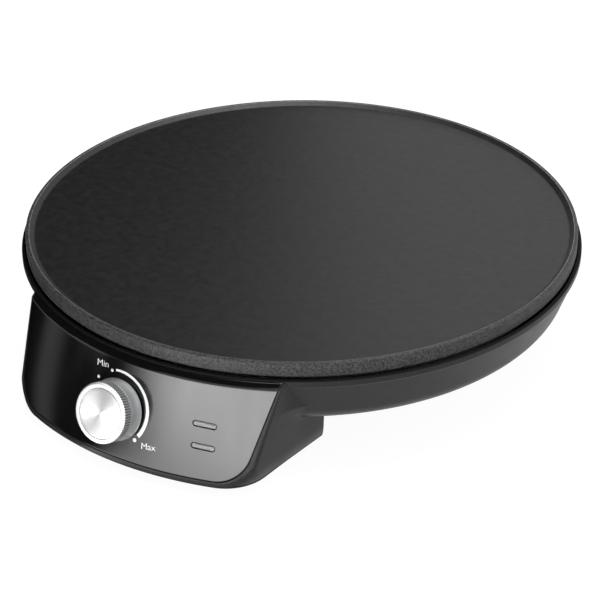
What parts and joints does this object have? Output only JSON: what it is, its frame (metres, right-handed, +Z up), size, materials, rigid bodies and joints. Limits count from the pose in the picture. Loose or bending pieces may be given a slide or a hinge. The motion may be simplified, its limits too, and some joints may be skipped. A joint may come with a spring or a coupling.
{
  "type": "electric crepe maker",
  "caption": "Round electric crepe maker: a flat coated griddle plate on a shallow dish, with a sloping front control pod, a thermostat knob and pilot windows.",
  "frame": {"origin": "on the table, under the middle of the bounding box; the plate's centre lies 14.662 mm behind it", "axes": "+Z up, -Y towards the user (the control panel's side), +X to the user's right"},
  "size_m": [0.3048, 0.3341, 0.0674],
  "materials": {
    "housing": "satin moulded plastic",
    "panel": "glossy black",
    "cover": "matt black",
    "screws": "zinc plated",
    "feet": "matt black rubber",
    "plate": "cast, with a matt black non-stick coating",
    "element": "sheathed tube",
    "ceramic": "off-white, matt",
    "plated_steel": "plated",
    "sheet_steel": "aluminised sheet",
    "copper": "drawn copper",
    "brass": "turned brass",
    "windows": "clear, frosted behind",
    "lamps": "neon lamp glass",
    "gland": "matt black rubber",
    "lead_brown": "silicone sleeve",
    "lead_black": "silicone sleeve",
    "lead_blue": "silicone sleeve",
    "knob": "satin, knurled edge",
    "knob_face": "spun"
  },
  "bodies": {
    "base": {"base_shell": "housing", "control_panel": "panel", "pod_cover": "cover", "cover_screws": "screws", "front_foot_left": "feet", "front_foot_right": "feet", "rear_foot_left": "feet", "rear_foot_right": "feet", "griddle_plate": "plate", "heating_element": "element", "element_seals": "ceramic", "element_tabs": "plated_steel", "heat_shield": "sheet_steel", "plate_screws": "screws", "sensor_bulb": "copper", "bulb_strap": "sheet_steel", "capillary_tube": "copper", "thermal_fuse": "ceramic", "fuse_strap": "sheet_steel", "thermostat_body": "ceramic", "thermostat_bush": "brass", "thermostat_nut": "plated_steel", "thermostat_tabs": "plated_steel", "upper_window": "windows", "lower_window": "windows", "lamp_holder": "ceramic", "neon_lamps": "lamps", "terminal_block": "ceramic", "cord_gland": "gland", "live_lead": "lead_brown", "heater_lead": "lead_black", "neutral_lead": "lead_blue"},
    "knob": {"thermostat_spindle": "plated_steel", "knob_insert": "cover", "knob": "knob", "knob_cap": "knob_face"}
  },
  "joints": [
    {"name": "knob_turn", "type": "hinge", "parent": "base", "child": "knob", "pos_m": [0, -0.14883, 0.0313], "axis": [0, 0.9469, -0.3216], "range_deg": [0, 186]}
  ]
}
